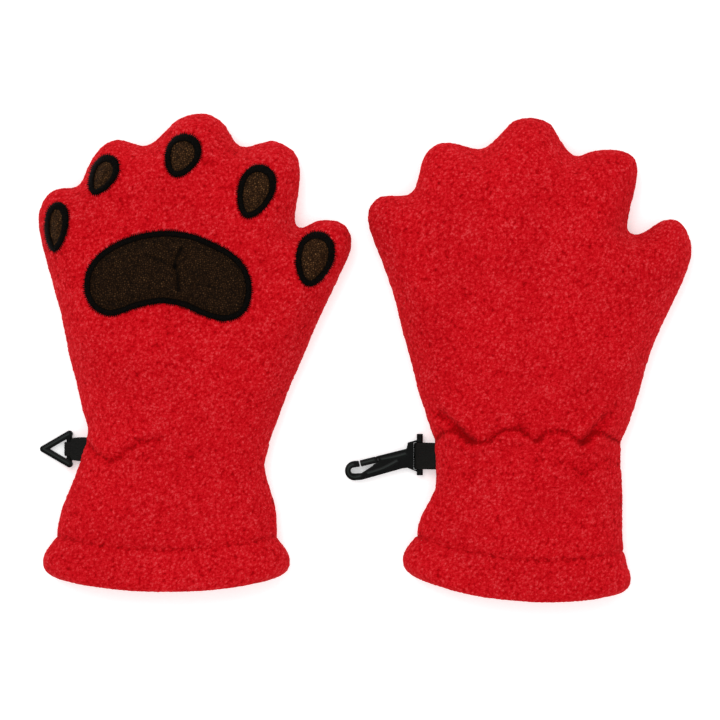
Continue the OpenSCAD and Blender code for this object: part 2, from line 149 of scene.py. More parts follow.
class Shader:
    """A material whose Principled shader the small methods below wire up."""

    def __init__(self, name, roughness):
        self.material = bpy.data.materials.new(name)
        self.material.use_nodes = True
        self.nodes = self.material.node_tree.nodes
        self.links = self.material.node_tree.links
        self.shader = self.nodes["Principled BSDF"]
        self.shader.inputs["Roughness"].default_value = roughness
        self.place = self.nodes.new("ShaderNodeTexCoord").outputs["Object"]

    def noise(self, size, detail=2.0, roughness=0.5):
        """Noise whose patches are about size millimetres across, 0 to 1."""
        node = self.nodes.new("ShaderNodeTexNoise")
        node.inputs["Scale"].default_value = 1.0/(size*MM)
        node.inputs["Detail"].default_value = detail
        node.inputs["Roughness"].default_value = roughness
        self.links.new(self.place, node.inputs["Vector"])
        return node.outputs["Fac"]

    def cells(self, size, feature="F1"):
        """Distance within scattered cells about size millimetres across."""
        node = self.nodes.new("ShaderNodeTexVoronoi")
        node.feature = feature
        node.inputs["Scale"].default_value = 1.0/(size*MM)
        self.links.new(self.place, node.inputs["Vector"])
        return node.outputs["Distance"]

    def stored(self, name):
        """A number kept on the mesh's own points."""
        node = self.nodes.new("ShaderNodeAttribute")
        node.attribute_name = name
        return node.outputs["Fac"]

    def ramp(self, value, stops):
        """Colours at the given places from 0 to 1."""
        node = self.nodes.new("ShaderNodeValToRGB")
        while len(node.color_ramp.elements) < len(stops):
            node.color_ramp.elements.new(0.5)
        for element, (position, colour) in zip(node.color_ramp.elements, stops):
            element.position = position
            element.color = (*colour, 1.0)
        self.links.new(value, node.inputs["Fac"])
        return node.outputs["Color"]

    def mix(self, share, first, second, mode="MIX"):
        """Two colours mixed by a share, which is a socket or a number."""
        node = self.nodes.new("ShaderNodeMix")
        node.data_type = "RGBA"
        node.blend_type = mode
        for index, value in ((0, share), (6, first), (7, second)):
            self.put(node.inputs[index], value)
        return node.outputs[2]

    def math(self, operation, first, second=0.0, third=0.0):
        node = self.nodes.new("ShaderNodeMath")
        node.operation = operation
        for socket, value in zip(node.inputs, (first, second, third)):
            self.put(socket, value)
        return node.outputs[0]

    def mottle(self, size, detail, dark, light):
        """Two shades in patches about size millimetres across."""
        return self.ramp(self.noise(size, detail), [(0.3, dark), (0.7, light)])

    def put(self, socket, value):
        """Sets a socket to a number or colour, or links another socket to it."""
        if isinstance(value, bpy.types.NodeSocket):
            self.links.new(value, socket)
        elif isinstance(value, tuple):
            socket.default_value = (*value, 1.0)
        else:
            socket.default_value = value

    def bump(self, height, distance, strength=1.0):
        """Fine relief of the given depth in millimetres, stacked on any before it."""
        node = self.nodes.new("ShaderNodeBump")
        node.inputs["Distance"].default_value = distance*MM
        node.inputs["Strength"].default_value = strength
        self.links.new(height, node.inputs["Height"])
        normal = self.shader.inputs["Normal"]
        if normal.is_linked:
            self.links.new(normal.links[0].from_socket, node.inputs["Normal"])
        self.links.new(node.outputs["Normal"], normal)

    def colour(self, value):
        self.put(self.shader.inputs["Base Color"], value)

    def roughness(self, size, low, spread):
        """Roughness that varies in patches about size millimetres across."""
        varied = self.math("MULTIPLY_ADD", self.noise(size), spread, low)
        self.put(self.shader.inputs["Roughness"], varied)

    def set(self, **settings):
        """Sets the shader's own sockets: set(Sheen_Weight=0.2) sets Sheen Weight."""
        for name, value in settings.items():
            self.shader.inputs[name.replace("_", " ")].default_value = value


def plain_floor():
    """A white table lit from within, which leaves hardly any shadow."""
    s = Shader("pale_floor", 0.7)
    s.set(Emission_Color=(1.0, 1.0, 1.0, 1.0), Emission_Strength=0.35, Specular_IOR_Level=0.1)
    s.colour(s.mottle(400.0, 2.0, (0.93, 0.93, 0.93), (0.96, 0.96, 0.96)))
    return s.material


def fleece_material():
    """Brushed red fleece: painted highlight on the tufts' tips, painted shade in the deep gaps
    between them, pale specks of painted sheen and a soft sheen.
    """
    s = Shader("red_fleece", 0.95)
    # Painted shade in the gaps between the tufts and painted highlight on their tips.
    tufts = s.ramp(s.stored("tuft_shading"), [(0.0, (0.29, 0.0002, 0.0015)), (0.35, (0.50, 0.0016, 0.0055)),
                                     (0.62, (0.59, 0.0062, 0.0115)), (1.0, (0.68, 0.038, 0.046))])
    # Pale specks of painted sheen over the fibres' own uneven tone.
    fine = s.ramp(s.noise(0.55, 2.0, 0.6), [(0.32, (0.74, 0.30, 0.35)), (0.5, (0.97, 0.85, 0.85)),
                                            (0.7, (1.12, 2.2, 2.0))])
    broad = s.mottle(22.0, 2.0, (0.95, 0.95, 0.95), (1.03, 1.03, 1.03))
    s.colour(s.mix(1.0, s.mix(1.0, tufts, fine, "MULTIPLY"), broad, "MULTIPLY"))
    s.set(Specular_IOR_Level=0.03, Sheen_Weight=0.10, Sheen_Roughness=0.5,
          Sheen_Tint=(1.0, 0.22, 0.22, 1.0))
    s.bump(s.noise(0.45, 3.0, 0.7), 0.25, 0.8)
    return s.material


def lining_material():
    """Thin brushed red jersey with fine vertical ribs."""
    s = Shader("red_lining", 0.9)
    s.colour(s.ramp(s.noise(0.8, 3.0, 0.6), [(0.3, (0.30, 0.004, 0.010)),
                                             (0.7, (0.50, 0.010, 0.020))]))
    s.set(Specular_IOR_Level=0.1, Sheen_Weight=0.2)
    s.bump(s.cells(0.6), 0.2, 0.7)
    return s.material


def leather_material(name, tone):
    """Brown pebbled leatherette: painted highlight flecks on the tops of its grain, painted shade
    in the grooves between them.
    """
    s = Shader(name, 0.55)
    grain = s.cells(0.75, "DISTANCE_TO_EDGE")
    stops = ((0.0, (0.0030, 0.0012, 0.0005)), (0.14, (0.0090, 0.0038, 0.0013)),
             (0.38, (0.0330, 0.0150, 0.0056)), (0.6, (0.1000, 0.0560, 0.0250)))
    # Painted light on the grain: shade in its grooves, highlight on its tops.
    grain_light_and_shade = s.ramp(grain, [(place, tuple(tone*c for c in colour)) for place, colour in stops])
    patches = s.ramp(s.noise(1.3, 3.0, 0.7), [(0.3, (0.55, 0.55, 0.55)), (0.72, (1.45, 1.4, 1.3))])
    grain_shade_and_patches = s.mix(1.0, grain_light_and_shade, patches, "MULTIPLY")
    # The stored fold value paints shade into the pad's creases and darkens it towards its edge.
    s.colour(s.mix(s.stored("fold"), grain_shade_and_patches, (0.0012, 0.0006, 0.0003)))
    s.roughness(2.0, 0.5, 0.3)
    s.set(Specular_IOR_Level=0.03)
    s.bump(grain, 0.16, 0.9)
    s.bump(s.noise(0.4, 2.0), 0.06, 0.6)
    return s.material


def thread_material():
    """Black embroidery thread."""
    s = Shader("black_thread", 0.55)
    s.colour(s.mottle(0.5, 2.0, (0.0012, 0.0010, 0.0009), (0.0045, 0.0038, 0.0032)))
    s.set(Specular_IOR_Level=0.02)
    s.bump(s.noise(0.15, 2.0), 0.04, 0.5)
    return s.material


def webbing_material():
    """Black polypropylene webbing."""
    s = Shader("black_webbing", 0.6)
    s.colour(s.mottle(0.5, 3.0, (0.0016, 0.0015, 0.0012), (0.0060, 0.0056, 0.0045)))
    s.set(Specular_IOR_Level=0.1)
    s.bump(s.noise(0.2, 2.0), 0.05, 0.6)
    return s.material


def plastic_material():
    """Black moulded plastic with a satin, slightly uneven skin and painted highlight along its
    ribs.
    """
    s = Shader("black_plastic", 0.3)
    skin = s.mottle(3.0, 3.0, (0.0012, 0.0014, 0.0012), (0.0026, 0.0032, 0.0028))
    # Painted highlight: a paler grey-green along the tops of the ribs.
    s.colour(s.mix(s.stored("rib_and_highlight"), skin, (0.018, 0.024, 0.021)))
    s.set(Specular_IOR_Level=0.08)
    s.roughness(1.2, 0.2, 0.16)
    s.bump(s.noise(0.35, 2.0), 0.02, 0.5)
    return s.material


def elastic_material():
    """Knitted ivory elastic."""
    s = Shader("ivory_elastic", 0.8)
    s.colour(s.ramp(s.cells(0.7), [(0.1, (0.62, 0.58, 0.48)), (0.6, (0.40, 0.36, 0.28))]))
    s.bump(s.cells(0.7), 0.2, 0.8)
    return s.material


# ------------------------------ noise over points

def lattice(cell, salt):
    """A repeatable number from 0 to 1 for each whole-number place in space."""
    h = cell[:, 0]*73856093 ^ cell[:, 1]*19349663 ^ cell[:, 2]*83492791 ^ salt*2654435761
    h = (h ^ (h >> 13))*1274126177 & 0x7FFFFFFF
    h = (h ^ (h >> 15))*668265263 & 0x7FFFFFFF
    return (h >> 7 & 0xFFFF)/65535.0


def waves(points, size, salt):
    """Smooth noise from -1 to 1, whose bumps are about size across. salt picks the pattern."""
    q = points/size
    cell = np.floor(q).astype(np.int64)
    f = q - cell
    f = f*f*(3 - 2*f)
    total = np.zeros(len(points))
    for corner in np.ndindex(2, 2, 2):
        share = np.ones(len(points))
        for axis in range(3):
            share = share*(f[:, axis] if corner[axis] else 1 - f[:, axis])
        total += share*lattice(cell + np.array(corner), salt)
    return 2*total - 1


def grains(points, size, salt):
    """Distance from each point to the nearest of many scattered grains, in grain sizes."""
    q = points/size
    cell = np.floor(q).astype(np.int64)
    best = np.full(len(points), 9.0)
    for step in np.ndindex(3, 3, 3):
        near = cell + np.array(step) - 1
        gap = np.zeros(len(points))
        for axis in range(3):
            gap += (near[:, axis] + lattice(near, salt + axis) - q[:, axis])**2
        best = np.minimum(best, gap)
    return np.sqrt(best)


# ------------------------------ curves in the plane

def smooth_through(points, step, closed=False):
    """Points a step apart on the smooth curve through the given ones."""
    p = np.asarray(points, float)
    n = len(p)
    at = (lambda i: p[i % n]) if closed else (lambda i: p[min(max(i, 0), n - 1)])
    dense = []
    for i in range(n if closed else n - 1):
        a, b, c, d = at(i - 1), at(i), at(i + 1), at(i + 2)
        for t in np.arange(0, 1, 0.125):
            dense.append(0.5*(2*b + (c - a)*t + (2*a - 5*b + 4*c - d)*t*t
                              + (3*b - a - 3*c + d)*t**3))
    dense.append(at(0) if closed else p[-1])
    return evenly(np.array(dense), step, closed)


def evenly(line, step, closed=False):
    """The same line with its points an even step apart."""
    run = np.concatenate([[0], np.cumsum(np.linalg.norm(np.diff(line, axis=0), axis=1))])
    count = max(8, int(round(run[-1]/step)))
    at = np.linspace(0, run[-1], count + 1)
    if closed:
        at = at[:-1]
    return np.stack([np.interp(at, run, line[:, k]) for k in range(line.shape[1])], axis=1)


def distance_to(points, line):
    """Distance in the plane from each point to a line of points."""
    best = np.full(len(points), 1e9)
    for a, b in zip(line[:-1], line[1:]):
        ab = b - a
        t = np.clip(((points - a) @ ab)/max(ab @ ab, 1e-12), 0, 1)
        gap = points - a - t[:, None]*ab
        best = np.minimum(best, (gap*gap).sum(1))
    return np.sqrt(best)


def inside(points, loop):
    """True for the points within a closed loop."""
    odd = np.zeros(len(points), bool)
    x, y = points[:, 0], points[:, 1]
    for a, b in zip(loop, np.roll(loop, -1, axis=0)):
        if a[1] == b[1]:
            continue
        crosses = (a[1] > y) != (b[1] > y)
        odd ^= crosses & (x < (b[0] - a[0])*(y - a[1])/(b[1] - a[1]) + a[0])
    return odd


def come_round(loop):
    """A closed loop with its first point again at its end."""
    return np.vstack([loop, loop[:1]])


def directions(loop):
    """At each point of a closed loop, the directions along it and to its left."""
    along = np.roll(loop, -1, axis=0) - np.roll(loop, 1, axis=0)
    along /= np.linalg.norm(along, axis=1)[:, None]
    return along, np.stack([-along[:, 1], along[:, 0]], axis=1)


def offset_loop(loop, d):
    """A closed loop moved to its left by d."""
    return loop + d*directions(loop)[1]


def anticlockwise(loop):
    """The same closed loop, running anticlockwise."""
    x, y = loop[:, 0], loop[:, 1]
    area = (x*np.roll(y, -1) - y*np.roll(x, -1)).sum()
    return loop if area > 0 else loop[::-1]


def fill_loop(loop, spacing, rings=()):
    """Triangles over a closed loop: its own points first, rings inside it, then a grid."""
    loop = anticlockwise(loop)
    extra = []
    for d in rings:
        ring = evenly(come_round(offset_loop(loop, d)), spacing, closed=True)
        far = distance_to(ring, come_round(loop))
        extra.append(ring[(far > 0.9*d) & inside(ring, loop)])
    low, high = loop.min(0), loop.max(0)
    xs = np.arange(low[0], high[0], spacing)
    ys = np.arange(low[1], high[1], spacing*0.866)
    grid = np.array([(x + (spacing/2 if j % 2 else 0), y) for j, y in enumerate(ys) for x in xs])
    margin = (max(rings) if len(rings) else 0) + 0.6*spacing
    grid = grid[inside(grid, loop)]
    grid = grid[distance_to(grid, come_round(loop)) > margin]
    points = np.vstack([loop, *extra, grid])
    n = len(loop)
    out = delaunay_2d_cdt([Vector(p) for p in points.tolist()],
                          [(i, (i + 1) % n) for i in range(n)], [], 1, 1e-5)
    return np.array([tuple(v) for v in out[0]]), [tuple(f) for f in out[2]], n


# ------------------------------ meshes

def new_object(name, points, faces, material=None):
    mesh = bpy.data.meshes.new(name)
    mesh.from_pydata((np.asarray(points)*MM).tolist(), [], [tuple(f) for f in faces])
    mesh.update()
    obj = bpy.data.objects.new(name, mesh)
    link(obj)
    if material is not None:
        mesh.materials.append(material)
    return obj


@contextmanager
def editing(obj):
    """The object's mesh as a bmesh, put back when the block ends."""
    bm = bmesh.new()
    bm.from_mesh(obj.data)
    yield bm
    bm.to_mesh(obj.data)
    bm.free()


def face_outwards(obj):
    """Turns every face of a closed mesh outwards."""
    with editing(obj) as bm:
        bmesh.ops.recalc_face_normals(bm, faces=bm.faces)


def cad_copy(name, node):
    """A copy of a CAD solid with no material, its points joined, ready to be remeshed."""
    obj = bpy.data.objects.new(name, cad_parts[node].data.copy())
    link(obj)
    obj.data.materials.clear()
    with editing(obj) as bm:
        bmesh.ops.remove_doubles(bm, verts=bm.verts, dist=1e-6)
    return obj


def read(items, name):
    """One vector for each of a mesh's points or faces."""
    values = np.empty(len(items)*3)
    items.foreach_get(name, values)
    return values.reshape(-1, 3)


def points_of(obj):
    """Every point of the mesh, in millimetres."""
    return read(obj.data.vertices, "co")/MM


def normals_of(obj):
    return read(obj.data.vertices, "normal")


def face_middles(obj):
    return read(obj.data.polygons, "center")/MM


def move_points(obj, points):
    obj.data.vertices.foreach_set("co", (points*MM).ravel())
    obj.data.update()


def keep_above(obj, height):
    """Presses flat whatever reaches below a height."""
    p = points_of(obj)
    p[:, 2] = np.maximum(p[:, 2], height)
    move_points(obj, p)


def store(obj, name, values):
    """Keeps one number for each point of the mesh, for the material to read."""
    attribute = obj.data.attributes.new(name, "FLOAT", "POINT")
    attribute.data.foreach_set("value", values.astype(np.float32))


def apply_modifiers(obj):
    """Puts the result of the object's modifiers into its mesh."""
    bpy.context.view_layer.update()
    graph = bpy.context.evaluated_depsgraph_get()
    mesh = bpy.data.meshes.new_from_object(obj.evaluated_get(graph))
    old = obj.data
    obj.modifiers.clear()
    obj.data = mesh
    bpy.data.meshes.remove(old)


def remesh(obj, voxel):
    """Gives a closed mesh even faces about voxel millimetres across."""
    modifier = obj.modifiers.new("remesh", "REMESH")
    modifier.mode = "VOXEL"
    modifier.voxel_size = voxel*MM
    apply_modifiers(obj)


def subdivide(obj, levels):
    modifier = obj.modifiers.new("subdivide", "SUBSURF")
    modifier.levels = levels
    modifier.render_levels = levels
    apply_modifiers(obj)


def relax(obj, rounds):
    """Evens out a mesh without shrinking it: each point moves towards its neighbours' middle,
    and then a little further back."""
    edges = np.empty(len(obj.data.edges)*2, int)
    obj.data.edges.foreach_get("vertices", edges)
    a, b = edges.reshape(-1, 2).T
    p = points_of(obj)
    count = np.maximum(np.bincount(np.concatenate([a, b]), minlength=len(p)), 1)[:, None]
    for _ in range(rounds):
        for factor in (0.5, -0.52):
            total = np.zeros_like(p)
            for axis in range(3):
                total[:, axis] = (np.bincount(a, p[b, axis], len(p))
                                  + np.bincount(b, p[a, axis], len(p)))
            p = p + factor*(total/count - p)
    move_points(obj, p)


def smooth_shading(obj):
    obj.data.polygons.foreach_set("use_smooth", np.ones(len(obj.data.polygons), bool))


def keep_faces(obj, chosen):
    """Deletes the faces that aren't chosen, and the points that only they use."""
    with editing(obj) as bm:
        drop = [f for f in bm.faces if not chosen[f.index]]
        bmesh.ops.delete(bm, geom=drop, context="FACES")


def finish_piece(obj, body, slot, *nodes):
    """Tells the frame what the piece rides on and the CAD nodes it stands for; slot, its finish, is
    not used.
    """
    smooth_shading(obj)
    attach(obj, body)
    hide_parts(*nodes)


# ------------------------------ lines read from the frame

def crease_line(node, is_first, is_second):
    """The chain of edges of a CAD node that lie between two kinds of face, in order."""
    bm = bmesh.new()
    bm.from_mesh(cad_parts[node].data)
    bmesh.ops.remove_doubles(bm, verts=bm.verts, dist=1e-6)
    bm.normal_update()
    beside = {}
    for e in bm.edges:
        if len(e.link_faces) != 2:
            continue
        a, b = e.link_faces
        if (is_first(a) and is_second(b)) or (is_first(b) and is_second(a)):
            for v, w in (e.verts, reversed(e.verts)):
                beside.setdefault(v.index, []).append(w.index)
    bm.verts.ensure_lookup_table()
    ends = [v for v, near in beside.items() if len(near) == 1]
    here = ends[0] if ends else next(iter(beside))
    chain, seen = [here], {here}
    while True:
        onward = [w for w in beside[here] if w not in seen]
        if not onward:
            break
        here = onward[0]
        seen.add(here)
        chain.append(here)
    line = np.array([tuple(bm.verts[i].co) for i in chain])/MM
    bm.free()
    return line


def seam_line(side):
    """The side seam of a mitten, from the cuff's lower x end round the fingers to the other.

    The upper panel stands on a flat rim: its border is one loop, and the seam is the outer arc.
    """
    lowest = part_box(f"{side}_{UP[side]}_panel")[0].z
    rim = lambda f: f.normal.z < -0.999 and max(v.co.z for v in f.verts) < lowest + 2e-5
    loop = crease_line(f"{side}_{UP[side]}_panel", rim, lambda f: not rim(f))
    by_height = sorted(range(len(loop)), key=lambda i: loop[i, 1])
    middle = (loop[:, 0].min() + loop[:, 0].max())/2
    first = min([i for i in by_height if loop[i, 0] < middle][:2], key=lambda i: loop[i, 0])
    last = max([i for i in by_height if loop[i, 0] > middle][:2], key=lambda i: loop[i, 0])
    count = len(loop)
    arcs = []
    for step in (1, -1):
        arc = [first]
        while arc[-1] != last:
            arc.append((arc[-1] + step) % count)
        arcs.append(loop[arc])
    return max(arcs, key=lambda arc: np.ptp(arc[:, 0]) + np.ptp(arc[:, 1]))


def patch_loop(node):
    """The outline of a pad in plan."""
    line = crease_line(node, lambda f: abs(f.normal.z) < 0.02, lambda f: f.normal.z > 0.3)
    return anticlockwise(line[:, :2])


# ------------------------------ the shape of a mitten

ROUND_UP = 12.0         # how far in from the seam the upper side reaches its full height
ROUND_DOWN = 8.0        # how far in from the seam the underside lies flat
EDGE_RISE = 0.45        # the upper side's height near the seam over its height in the palm
WRIST_DROP = 0.25       # how much lower the wrist lies, as a share
BED_STEP = 1.0          # size of the cells in which the cushion's height is worked out
BED_SOFTNESS = 15.0     # how far the seam's pull reaches into the cushion
BED_ROUNDS = 1200
PANEL_GAP = 0.1         # between the two panels at the seam


class Mitten:
    """Where one mitten's fleece lies: seam outline, heights and the curve of its cuff."""

    def __init__(self, side):
        self.side = side
        line = seam_line(side)
        self.seam_z = line[:, 2].mean() - PANEL_GAP/2
        self.rim = smooth_through(line[:, :2], 0.6)
        self.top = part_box(f"{side}_{UP[side]}_panel")[1].z/MM
        self.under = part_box(f"{side}_{DOWN[side]}_panel")[0].z/MM
        hem_low, hem_high = box_mm(f"{side}_cuff_hem")
        self.hem_under = hem_low.z
        self.cuff_middle = (hem_low.x + hem_high.x)/2
        self.hem_half = (hem_high.x - hem_low.x)/2
        self.cuff_fit = self.fit_cuff()
        # The outline, with its sides run on down past the cuff.
        self.below = np.vstack([self.rim[:1] + (0, -30), self.rim, self.rim[-1:] + (0, -30)])
        self.bed = self.make_bed()

    def fit_cuff(self):
        """A parabola through the lowest points of the CAD hem, across its width."""
        co = np.array([tuple(v.co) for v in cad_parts[f"{self.side}_cuff_hem"].data.vertices])
        x, y = co[:, 0]/MM - self.cuff_middle, co[:, 1]/MM
        bins = np.linspace(-0.8, 0.8, 10)*self.hem_half
        lowest = []
        for a, b in zip(bins[:-1], bins[1:]):
            here = (x >= a) & (x < b)
            if here.any():
                i = np.argmin(np.where(here, y, 1e9))
                lowest.append((x[i], y[i]))
        lowest = np.array(lowest)
        return np.polyfit(lowest[:, 0], lowest[:, 1], 2)

    def hem_low(self, x):
        """The lower edge of the hem at x."""
        return np.polyval(self.cuff_fit, x - self.cuff_middle)

    def cuff(self, x):
        """The stitching that joins the hem to the mitten at x."""
        return self.hem_low(x) + HEM_DEPTH

    def make_bed(self):
        """A smooth cushion over the outline, 0 at the seam and 1 in the palm.

        It is the height at which a skin under even pressure stands, held down a little.
        """
        step = BED_STEP
        low = self.rim.min(0) - (4, 34)
        high = self.rim.max(0) + 4
        xs, ys = np.arange(low[0], high[0], step), np.arange(low[1], high[1], step)
        grid = np.stack(np.meshgrid(xs, ys, indexing="ij"), axis=-1)
        mask = inside(grid.reshape(-1, 2), self.below).reshape(grid.shape[:2])
        u = np.zeros(mask.shape)
        for _ in range(BED_ROUNDS):
            near = np.zeros(mask.shape)
            near[1:-1, 1:-1] = u[2:, 1:-1] + u[:-2, 1:-1] + u[1:-1, 2:] + u[1:-1, :-2]
            # The cushion runs on level past the mouth.
            near[1:-1, 0] = u[2:, 0] + u[:-2, 0] + 2*u[1:-1, 1]
            u = np.where(mask, (near + step*step)/(4 + (step/BED_SOFTNESS)**2), 0)
        return xs, ys, u/u.max()

    def bed_at(self, p):
        """The cushion's height at points in plan, read between the grid's places."""
        xs, ys, u = self.bed
        fx = np.clip((p[:, 0] - xs[0])/(xs[1] - xs[0]), 0, len(xs) - 1.001)
        fy = np.clip((p[:, 1] - ys[0])/(ys[1] - ys[0]), 0, len(ys) - 1.001)
        i, j = fx.astype(int), fy.astype(int)
        a, b = fx - i, fy - j
        return (u[i, j]*(1 - a)*(1 - b) + u[i + 1, j]*a*(1 - b)
                + u[i, j + 1]*(1 - a)*b + u[i + 1, j + 1]*a*b)

    def heights(self, p):
        """Upper and lower heights of the fleece at points in plan."""
        d = distance_to(p, self.below)
        d = np.where(inside(p, self.below), d, 0)
        wrist = ease(self.wrist_y() + 40, self.wrist_y() - 10, p[:, 1])
        crown = EDGE_RISE + (1 - EDGE_RISE)*self.bed_at(p)
        rise = (self.top - self.seam_z)*crown*(1 - WRIST_DROP*wrist)
        upper = self.seam_z + rise*rounded(d, ROUND_UP)
        lower = self.seam_z - (self.seam_z - self.under)*rounded(d, ROUND_DOWN)
        return upper, lower

    def wrist_y(self):
        """The middle of the elastic across the wrist."""
        low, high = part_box(f"{self.side}_wrist_elastic")
        return (low.y + high.y)/2/MM

    def wrist_ends(self):
        """The mitten's two edges at the wrist."""
        near = self.rim[np.abs(self.rim[:, 1] - self.wrist_y()) < 3]
        middle = self.cuff_middle
        return near[near[:, 0] < middle, 0].mean(), near[near[:, 0] > middle, 0].mean()


def ease(a, b, v):
    """0 at a and 1 at b, with a smooth start and end."""
    t = np.clip((v - a)/(b - a), 0, 1)
    return t*t*(3 - 2*t)


def rounded(d, r):
    """A quarter circle's rise: 0 at the seam, 1 at a distance of r."""
    return np.sqrt(np.maximum(0, 1 - (1 - np.minimum(d/r, 1))**2))


# ------------------------------ fleece

HEM_DEPTH = 15.6        # from the stitching to the hem's lower edge
HEM_STITCH = 3.4        # length of a stitch round the hem
TUCK = 3.0              # how far the mitten's body runs on inside the hem
VOXEL = 1.8             # size of the body's first even mesh
EDGE_RINGS = (0.12, 0.45, 1.0, 1.8, 2.9)    # rows of points beside the body's outline
TUFT = 1.05             # distance between the fleece's tufts
NAP_DEPTH = 0.40        # height of the tufts over the gaps between them


def body_solid(m):
    """The mitten's body as one closed form, from the fingertips to inside the hem."""
    xs = np.linspace(m.rim[-1, 0], m.rim[0, 0], 60)
    mouth = np.stack([xs, m.cuff(xs) - TUCK], axis=1)
    plan, triangles, n = fill_loop(np.vstack([m.rim, mouth]), 1.6, EDGE_RINGS)
    upper, lower = m.heights(plan)
    count = len(plan)
    points = np.vstack([np.column_stack([plan, upper]), np.column_stack([plan, lower])])
    faces = [tuple(t) for t in triangles]
    faces += [(c + count, b + count, a + count) for a, b, c in triangles]
    faces += [(i, i + count, (i + 1) % n + count, (i + 1) % n) for i in range(n)]
    obj = new_object(f"{m.side}_body", points, faces)
    with editing(obj) as bm:
        bmesh.ops.remove_doubles(bm, verts=bm.verts, dist=1e-5)
        bmesh.ops.recalc_face_normals(bm, faces=bm.faces)
    remesh(obj, VOXEL)
    relax(obj, 3)
    return obj


def crease(p, line, depth, width):
    """How far a fold along a line presses the cloth in at each point."""
    d = distance_to(p[:, :2], np.asarray(line, float))
    return depth*(np.exp(-(d/width)**2) - 0.35*np.exp(-((d - 2.2*width)/(1.2*width))**2))


# The elastic's upper edge on the back of a wrist: share of the width, then height over the
# elastic's middle. The cloth dips at each low point and a fold runs up from it.
SCALLOPS = ((0.00, 3.8), (0.05, 7.4), (0.11, 7.8), (0.20, 3.9), (0.29, 4.4), (0.345, 7.6),
            (0.45, 8.4), (0.54, 4.2), (0.60, 7.6), (0.70, 7.6), (0.78, 3.4), (0.86, 7.6),
            (0.93, 5.6), (1.0, 3.4))
# The elastic's lower edge, fainter.
LOWER_SCALLOPS = ((0.62, -5.0), (0.70, -3.4), (0.78, -7.8), (0.86, -5.0), (0.92, -2.6),
                  (1.0, -6.0))
# Folds that run up from the elastic: start, middle and end as share and height, then depth
# and width.
FOLDS = (
    ((-0.03, 18), (0.09, 11), (0.19, 4.2), 2.0, 1.7),
    ((0.45, 19), (0.45, 13), (0.47, 8.8), 1.0, 1.8),
    ((0.97, 17), (0.88, 11), (0.79, 3.8), 1.8, 1.7),
    ((0.34, 13), (0.31, 8), (0.295, 4.8), 0.7, 1.5),
    ((0.60, 13), (0.57, 8), (0.545, 4.6), 0.8, 1.5),
    ((0.70, 14), (0.70, 11), (0.70, 7.8), 0.4, 1.5),
)
# Shorter folds in the gathered band and under it.
BAND_FOLDS = (
    ((0.20, 4), (0.21, -2), (0.19, -9), 0.6, 1.6),
    ((0.37, 6), (0.37, -1), (0.39, -8), 0.4, 1.6),
    ((0.54, 4), (0.55, -3), (0.53, -10), 0.6, 1.8),
    ((0.78, 3), (0.78, -4), (0.80, -10), 0.6, 1.6),
    ((0.02, -6), (0.12, -8), (0.20, -9), 0.4, 1.5),
)


# The fold beside the ring's webbing, from the wrist's edge.
WRIST_CREASE = ((2, 3), (6, -1), (12, -3), (21, 3), (30, 5))


def gathers(m, p):
    """The folds that the elastic pulls into the back of the wrist: how far they press the cloth
    in, and how much shade is painted along them."""
    x0, x1 = m.wrist_ends()
    y = m.wrist_y()
    place = lambda q: (x0 + (x1 - x0)*q[0], y + q[1])
    press = np.zeros(len(p))
    shade = np.zeros(len(p))
    for row, depth in ((SCALLOPS, 1.0), (LOWER_SCALLOPS, 0.5)):
        line = smooth_through([place(q) for q in row], 0.8)
        d = distance_to(p[:, :2], line)
        across = (p[:, 0] - x0)/(x1 - x0)
        edge = y + np.interp(across, [q[0] for q in row], [q[1] for q in row])
        below = edge - p[:, 1]
        within = ease(row[0][0] - 0.06, row[0][0] + 0.02, across)
        within *= 1 - ease(row[-1][0] - 0.02, row[-1][0] + 0.06, across)
        press += within*depth*(0.85*np.exp(-(d/0.95)**2) - 0.45*np.exp(-((below - 3.4)/2.2)**2)
                               + 0.25*np.exp(-((below + 2.2)/2.2)**2))
        # Painted shade along the scallop line.
        shade += within*depth*0.50*np.exp(-(d/0.8)**2)
    for *route, depth, width in FOLDS + BAND_FOLDS:
        line = smooth_through([place(q) for q in route], 0.8)
        start = np.linalg.norm(p[:, :2] - line[0], axis=1)
        fade = 1 - np.exp(-(start/5.0)**2)
        d = distance_to(p[:, :2], line)
        press += fade*crease(p, line, 0.65*depth, width)
        # Painted shade along each fold.
        shade += fade*0.20*depth*np.exp(-(d/width)**2)
    return press, shade


def soft_hollows(p):
    """Broad uneven dents of cloth that nothing fills."""
    return 0.55*waves(p, 26.0, 11) + 0.3*waves(p, 11.0, 12)


def stitch_dip(m, p):
    """The groove that the hem's stitching pulls into the cloth, deeper at each stitch, and the
    shade painted along it.
    """
    gap = p[:, 1] - m.cuff(p[:, 0])
    stitch = 0.5 + 0.5*np.cos(2*math.pi*p[:, 0]/HEM_STITCH + 1.5*waves(p, 9.0, 15))
    uneven = 0.65 + 0.35*waves(p, 14.0, 16)
    press = 0.45*np.exp(-(gap/3.6)**2) + (0.35 + 0.35*stitch)*np.exp(-(gap/0.9)**2)
    return press, (0.12 + 0.40*stitch)*uneven*np.exp(-(gap/0.6)**2)


def wrist_crease(m, p):
    """A slack fold beside the ring's webbing, and the shade painted along it."""
    start = np.array([m.wrist_ends()[0], m.wrist_y()])
    line = smooth_through([start + q for q in WRIST_CREASE], 1.0)
    d = distance_to(p[:, :2], line)
    return crease(p, line, 0.9, 1.5), 0.35*np.exp(-(d/1.0)**2)


